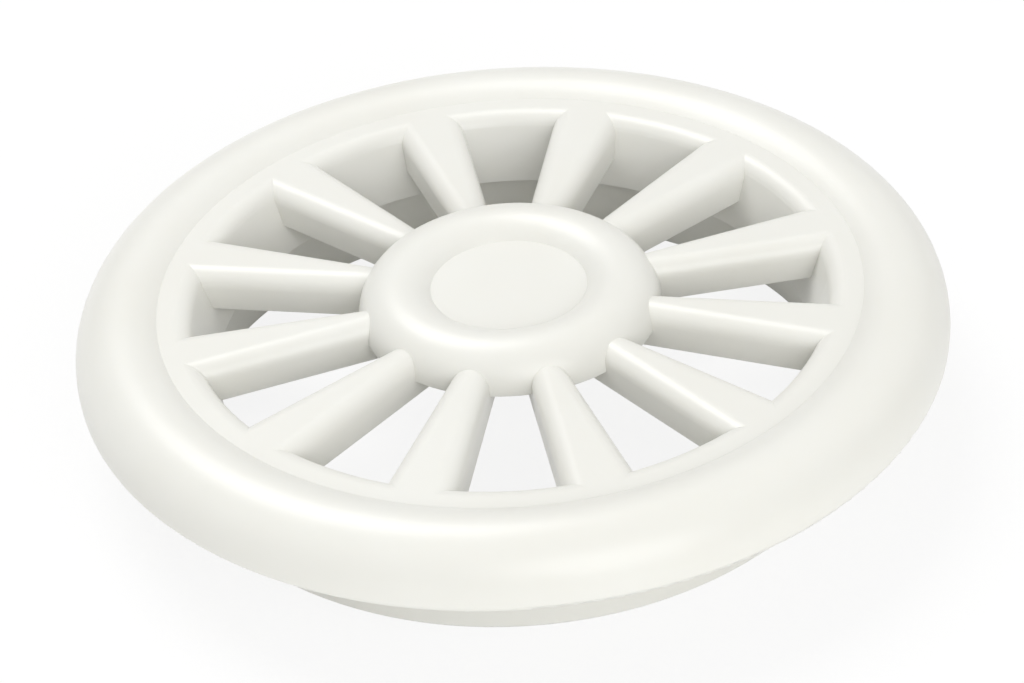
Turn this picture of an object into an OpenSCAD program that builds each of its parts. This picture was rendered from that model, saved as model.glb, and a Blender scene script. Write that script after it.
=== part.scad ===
// Round push-in vent grille, moulded in one piece.
// Millimetres. The origin is the centre of the seat, the plane that lies on the panel.
// +Z points out of the face, and the spigot goes down into the hole along -Z.

/* [Face ring] */
// Diameter over the whole ring
face_d = 87; // [86:0.5:96]
// Radius of the round bead that runs along the edge
bead_r = 5.2; // [4.8:0.1:5.6]
// Height of the bead's crown over the flat land inside it
bead_rise = 1.15; // [0.6:0.05:1.8]
// Height of the land over the seat
land_h = 5.4; // [5:0.1:6]
// Radius of the bead's lower outside edge
seat_edge_r = 0.8; // [0.4:0.1:1.2]

/* [Slots and spokes] */
// Number of slots
slot_count = 12; // [8:1:12]
// Diameter to the outer ends of the slots, at their walls
slot_end_d = 63; // [61:0.5:63]
// Width of a slot at its outer end
slot_outer_w = 9.7; // [7:0.1:10.4]
// Width of a slot where it meets the hub
slot_inner_w = 4.1; // [3:0.1:4.4]
// Radius of the rounded upper edges of the slots
slot_edge_r = 1.8; // [0.8:0.05:1.8]
// Depth of the spokes from the face down
spoke_h = 4.2; // [3:0.1:5]

/* [Hub] */
// Diameter over the hub
hub_d = 30.2; // [28:0.2:34]
// Radius of the round bead of the hub
hub_bead_r = 4.05; // [3.6:0.05:4.4]
// Height of the hub bead's crown over the land
hub_rise = 1.65; // [1.2:0.05:2]
// Thickness of the hub plate
hub_h = 2.45; // [2:0.05:2.6]

/* [Spigot and throat] */
// Outside diameter of the spigot, a little under the 70 mm hole
spigot_d = 69.5; // [68.5:0.1:69.8]
// Length of the spigot below the seat
spigot_len = 9.6; // [6:0.2:30]
// Wall thickness of the spigot
spigot_wall = 2; // [1.4:0.1:2.4]
// Chamfer that leads the spigot into the hole
lead_in = 0.6; // [0.2:0.1:1]
// Diameter of the throat below the slots
throat_d = 59.4; // [58:0.2:60]
// Depth from the land to the lower edge of the throat
throat_h = 7; // [6:0.1:9]

/* [Back of the ring] */
// Radius of the groove that cores out the bead from behind
groove_r = 2.6; // [1.5:0.1:2.6]
// Distance of the groove's centre line inside the ring's edge
groove_inset = 4.5; // [4.4:0.1:4.8]

/* [Hidden] */

ring_fn = 120;
edge_fn = 48;
clear = 1;
overlap = 0.5;

seat_r = face_d / 2;
spigot_r = spigot_d / 2;
spigot_in_r = spigot_r - spigot_wall;
throat_r = throat_d / 2;
throat_low = land_h - throat_h;

bead_cr = seat_r - bead_r;
bead_cz = land_h + bead_rise - bead_r;
groove_cr = seat_r - groove_inset;

// The round of the bead's lower edge touches both the bead and the seat
seat_edge_drop = bead_cz - seat_edge_r;
seat_edge_cr = bead_cr + sqrt(pow(bead_r - seat_edge_r, 2) - pow(seat_edge_drop, 2));
seat_edge_share = bead_r / (bead_r - seat_edge_r);
seat_touch_r = bead_cr + (seat_edge_cr - bead_cr) * seat_edge_share;
seat_touch_z = bead_cz - seat_edge_drop * seat_edge_share;

// The wall at the slots' outer ends leans in, from its rounded edge down to the throat
end_cr = slot_end_d / 2 + slot_edge_r;
end_cz = land_h - slot_edge_r;
end_reach = norm([end_cr - throat_r, end_cz - throat_low]);
end_slope = atan2(end_cr - throat_r, end_cz - throat_low) - asin(slot_edge_r / end_reach);
end_touch_r = end_cr - slot_edge_r * cos(end_slope);
end_touch_z = end_cz + slot_edge_r * sin(end_slope);

hub_r = hub_d / 2;
hub_cr = hub_r - hub_bead_r;
hub_cz = land_h + hub_rise - hub_bead_r;
hub_low = land_h - hub_h;
spoke_low = land_h - spoke_h;

// A spoke stands halfway between two slots, and its sides are the sides of those slots
half_pitch = 180 / slot_count;
slot_side_a = atan2((slot_outer_w - slot_inner_w) / 2, slot_end_d / 2 - hub_r);
spoke_side_a = half_pitch - slot_side_a;
root_x = hub_r * cos(half_pitch) + slot_inner_w / 2 * sin(half_pitch);
root_y = hub_r * sin(half_pitch) - slot_inner_w / 2 * cos(half_pitch);
root_back = (root_x - hub_cr) / cos(spoke_side_a);
spoke_reach = root_back + (end_cr + overlap - root_x) / cos(spoke_side_a);
spoke_half_w = slot_outer_w;

// Half of the ring's section: bead, land, slot end wall, throat and spigot
module ring_section() {
    intersection() {
        translate([bead_cr, bead_cz])
            circle(r = bead_r, $fn = edge_fn);
        translate([bead_cr - bead_r, seat_touch_z])
            square([2 * bead_r, 2 * bead_r]);
    }
    translate([seat_edge_cr, seat_edge_r])
        circle(r = seat_edge_r, $fn = edge_fn);
    translate([end_cr, end_cz])
        circle(r = slot_edge_r, $fn = edge_fn);
    polygon([
        [throat_r, throat_low],
        [spigot_in_r, throat_low],
        [spigot_in_r, -spigot_len],
        [spigot_r - lead_in, -spigot_len],
        [spigot_r, lead_in - spigot_len],
        [spigot_r, 0],
        [seat_edge_cr, 0],
        [seat_touch_r, seat_touch_z],
        [bead_cr, land_h],
        [end_cr, land_h],
        [end_cr, end_cz],
        [end_touch_r, end_touch_z]
    ]);
}

// Round-topped groove that keeps the wall under the bead even
module groove_section() {
    translate([groove_cr, bead_cz])
        circle(r = groove_r, $fn = edge_fn);
    translate([groove_cr - groove_r, -clear])
        square([2 * groove_r, bead_cz + clear]);
}

module ring() {
    rotate_extrude($fn = ring_fn)
        difference() {
            ring_section();
            groove_section();
        }
}

// Flat disc inside a round bead that rolls over into the slots
module hub() {
    rotate_extrude($fn = ring_fn) {
        intersection() {
            translate([hub_cr, hub_cz])
                circle(r = hub_bead_r, $fn = edge_fn);
            translate([0, hub_low])
                square([hub_r + clear, hub_rise + hub_h + clear]);
        }
        translate([0, hub_low])
            square([hub_cr, hub_h]);
    }
}

// Section across a spoke from one side wall, with the upper edge rounded
module spoke_section() {
    translate([slot_edge_r, land_h - slot_edge_r])
        circle(r = slot_edge_r, $fn = edge_fn);
    translate([0, spoke_low])
        square([slot_edge_r, spoke_h - slot_edge_r]);
    translate([slot_edge_r, spoke_low])
        square([spoke_half_w, spoke_h]);
}

module spoke_side() {
    translate([root_x, -root_y, 0])
        rotate([90, 0, 90 - spoke_side_a])
            translate([0, 0, -root_back])
                linear_extrude(height = spoke_reach)
                    spoke_section();
}

// Two mirrored sides make one tapered spoke
module spoke() {
    intersection() {
        spoke_side();
        mirror([0, 1, 0])
            spoke_side();
    }
}

module grille() {
    color("#DEDFDA") {
        ring();
        hub();
        for (i = [0 : slot_count - 1])
            rotate([0, 0, half_pitch + i * 2 * half_pitch])
                spoke();
    }
}

grille();
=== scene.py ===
import math
import bpy
from mathutils import Matrix, Vector


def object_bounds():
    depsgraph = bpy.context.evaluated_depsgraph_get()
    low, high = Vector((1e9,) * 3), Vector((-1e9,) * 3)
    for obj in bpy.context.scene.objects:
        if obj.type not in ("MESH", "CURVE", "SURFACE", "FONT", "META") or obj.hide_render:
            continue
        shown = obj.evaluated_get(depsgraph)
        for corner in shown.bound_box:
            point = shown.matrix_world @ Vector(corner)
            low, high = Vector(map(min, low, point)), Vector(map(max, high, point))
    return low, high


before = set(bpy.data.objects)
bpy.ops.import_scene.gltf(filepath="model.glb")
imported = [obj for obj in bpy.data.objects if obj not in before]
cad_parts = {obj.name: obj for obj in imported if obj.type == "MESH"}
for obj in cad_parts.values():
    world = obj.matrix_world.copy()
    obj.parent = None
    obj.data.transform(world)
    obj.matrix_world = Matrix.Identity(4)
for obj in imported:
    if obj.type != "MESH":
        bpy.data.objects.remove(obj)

cadLow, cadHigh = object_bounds()  # the box around the loaded parts; the box that the look has to stay in
print("frame loaded:", sorted(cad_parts))


def linearFromHex(code, alpha=1.0):
    # sRGB hex to the linear values that the sockets take
    parts = [int(code[i:i + 2], 16) / 255 for i in (1, 3, 5)]
    linear = [c / 12.92 if c <= 0.04045 else ((c + 0.055) / 1.055) ** 2.4 for c in parts]
    return (*linear, alpha)


def addNode(tree, kind, settings=None, **inputs):
    # one node, with its settings, and each input either a value or a socket to link
    made = tree.nodes.new(kind)
    for key, value in (settings or {}).items():
        setattr(made, key, value)
    for key, value in inputs.items():
        name = int(key[1:]) if key[0] == "_" else key.replace("_", " ")
        socket = made.inputs[name]
        if isinstance(value, bpy.types.NodeSocket):
            tree.links.new(value, socket)
        else:
            socket.default_value = value
    return made


def newMaterial(name):
    made = bpy.data.materials.new(name)
    made.use_nodes = True
    made.node_tree.nodes.clear()
    return made, made.node_tree


# the grille: injection-moulded white polypropylene, from a polished tool.
# The eye gets a soft gloss, faint long ripples where it cooled, and light that glows through thin walls.
grilleLook = {
    "white": "#E6E6E1",
    "warmWhite": "#E1E0D9",  # where the moulding is thick and yellows a little
    "roughness": 0.34,
    "roughnessSpread": 0.07,
    "ior": 1.49,
    "glowRadiusMm": 1.6,
    "glow": 0.25,
    "rippleMm": 14.0,
    "rippleDepthMm": 0.012,
    "grainMm": 0.35,  # drawn coarser than the tool's polish so that it shows
    "grainDepthMm": 0.0015,
}


def mouldedPolypropylene(look):
    made, tree = newMaterial("mouldedPolypropylene")
    place = addNode(tree, "ShaderNodeTexCoord").outputs["Object"]
    ripple = addNode(tree, "ShaderNodeTexNoise", Vector=place, Scale=1000 / look["rippleMm"], Detail=2.0, Roughness=0.45)
    grain = addNode(tree, "ShaderNodeTexNoise", Vector=place, Scale=1000 / look["grainMm"], Detail=2.0, Roughness=0.5)
    tint = addNode(tree, "ShaderNodeMix", {"data_type": "RGBA"}, Factor=ripple.outputs["Fac"])
    tint.inputs[6].default_value = linearFromHex(look["white"])
    tint.inputs[7].default_value = linearFromHex(look["warmWhite"])
    gloss = addNode(tree, "ShaderNodeMapRange", Value=grain.outputs["Fac"],
                    To_Min=look["roughness"] - look["roughnessSpread"],
                    To_Max=look["roughness"] + look["roughnessSpread"])
    wave = addNode(tree, "ShaderNodeBump", Strength=1.0, Distance=look["rippleDepthMm"] / 1000, Height=ripple.outputs["Fac"])
    fine = addNode(tree, "ShaderNodeBump", Strength=1.0, Distance=look["grainDepthMm"] / 1000,
                   Height=grain.outputs["Fac"], Normal=wave.outputs["Normal"])
    skin = addNode(tree, "ShaderNodeBsdfPrincipled", {"subsurface_method": "RANDOM_WALK"},
                   Base_Color=tint.outputs[2], Roughness=gloss.outputs["Result"], IOR=look["ior"],
                   Normal=fine.outputs["Normal"], Subsurface_Weight=look["glow"],
                   Subsurface_Radius=(1.0, 0.97, 0.9), Subsurface_Scale=look["glowRadiusMm"] / 1000)
    addNode(tree, "ShaderNodeOutputMaterial", Surface=skin.outputs["BSDF"])
    return made


plastic = mouldedPolypropylene(grilleLook)
for name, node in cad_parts.items():
    node.data.materials.clear()
    node.data.materials.append(plastic)
print("plastic on", sorted(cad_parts))


# the floor: matt white card under the grille, which the camera sees as white, with the shadow kept
floorLook = {
    "colour": "#F4F4F3",
    "spanMm": 4000,
    "whiteShare": 0.86,  # how much of it is plain white to the camera
    "roughness": 0.9,
}


def whiteCard(look):
    made, tree = newMaterial("whiteCard")
    place = addNode(tree, "ShaderNodeTexCoord").outputs["Object"]
    fibre = addNode(tree, "ShaderNodeTexNoise", Vector=place, Scale=1000 / 3.0, Detail=3.0, Roughness=0.6)
    nap = addNode(tree, "ShaderNodeBump", Strength=0.3, Distance=0.0001, Height=fibre.outputs["Fac"])
    card = addNode(tree, "ShaderNodeBsdfPrincipled", Base_Color=linearFromHex(look["colour"]),
                   Roughness=look["roughness"], Specular_IOR_Level=0.1, Normal=nap.outputs["Normal"])
    white = addNode(tree, "ShaderNodeEmission", Color=(1, 1, 1, 1), Strength=1.0)
    path = addNode(tree, "ShaderNodeLightPath")
    seen = addNode(tree, "ShaderNodeMath", {"operation": "MAXIMUM"}, _0=path.outputs["Is Camera Ray"], _1=path.outputs["Is Glossy Ray"])
    seen = addNode(tree, "ShaderNodeMath", {"operation": "MAXIMUM"}, _0=seen.outputs[0], _1=path.outputs["Is Transmission Ray"])
    share = addNode(tree, "ShaderNodeMath", {"operation": "MULTIPLY"}, _0=seen.outputs[0], _1=look["whiteShare"])
    both = addNode(tree, "ShaderNodeMixShader", _0=share.outputs[0], _1=card.outputs["BSDF"], _2=white.outputs["Emission"])
    addNode(tree, "ShaderNodeOutputMaterial", Surface=both.outputs["Shader"])
    return made


def makeFloor(look, level):
    half = look["spanMm"] / 2000
    mesh = bpy.data.meshes.new("floor")
    mesh.from_pydata([(-half, -half, 0), (half, -half, 0), (half, half, 0), (-half, half, 0)], [], [(0, 1, 2, 3)])
    floor = bpy.data.objects.new("floor", mesh)
    floor.location.z = level
    bpy.context.scene.collection.objects.link(floor)
    mesh.materials.append(whiteCard(look))
    return floor


makeFloor(floorLook, cadLow.z - 0.00005)
print("floor laid")


# the room: an even pale surround and soft lamps
roomLook = {
    "strength": 0.55,
    "colour": "#FFFFFF",
}
lampSet = [
    {"name": "lampOver", "place": (-0.25, 0.35, 0.75), "aim": (0, 0, 0), "size": 0.55, "watts": 4.0},
    {"name": "lampFront", "place": (0.25, -0.65, 0.35), "aim": (0, 0, 0), "size": 0.6, "watts": 3.0},
]


def makeRoom(look):
    world = bpy.data.worlds.new("room")
    world.use_nodes = True
    tree = world.node_tree
    tree.nodes.clear()
    path = addNode(tree, "ShaderNodeLightPath")
    seen = addNode(tree, "ShaderNodeMath", {"operation": "MAXIMUM"}, _0=path.outputs["Is Camera Ray"], _1=path.outputs["Is Transmission Ray"])
    soft = addNode(tree, "ShaderNodeBackground", Color=linearFromHex(look["colour"]), Strength=look["strength"])
    white = addNode(tree, "ShaderNodeBackground", Color=(1, 1, 1, 1), Strength=1.0)
    both = addNode(tree, "ShaderNodeMixShader", _0=seen.outputs[0], _1=soft.outputs["Background"], _2=white.outputs["Background"])
    addNode(tree, "ShaderNodeOutputWorld", Surface=both.outputs["Shader"])
    bpy.context.scene.world = world


def makeLamp(spec):
    data = bpy.data.lights.new(spec["name"], "AREA")
    data.shape = "DISK"
    data.size = spec["size"]
    data.energy = spec["watts"]
    lamp = bpy.data.objects.new(spec["name"], data)
    lamp.location = spec["place"]
    toward = Vector(spec["aim"]) - Vector(spec["place"])
    lamp.rotation_euler = toward.to_track_quat("-Z", "Y").to_euler()
    bpy.context.scene.collection.objects.link(lamp)


makeRoom(roomLook)
for spec in lampSet:
    makeLamp(spec)
print("room lit with", len(lampSet), "lamps")


# the camera: in front and above, turned a little, as the photo was taken
cameraLook = {
    "placeMm": (10.09, -258.26, 185.53),
    "aimMm": (0.28, -9.55, 5.4),
    "rollDeg": 4.26,
    "lensMm": 111.66,
}


def makeCamera(look):
    data = bpy.data.cameras.new("camera")
    data.lens = look["lensMm"]
    data.sensor_width = 36
    data.clip_start, data.clip_end = 0.01, 10
    camera = bpy.data.objects.new("camera", data)
    place = Vector(look["placeMm"]) / 1000
    aim = Vector(look["aimMm"]) / 1000
    turn = (aim - place).to_track_quat("-Z", "Y").to_matrix().to_4x4()
    roll = Matrix.Rotation(math.radians(-look["rollDeg"]), 4, "Z")
    camera.matrix_world = Matrix.Translation(place) @ turn @ roll
    bpy.context.scene.collection.objects.link(camera)
    bpy.context.scene.camera = camera


makeCamera(cameraLook)
bpy.context.scene.view_settings.view_transform = "Standard"
print("camera set")
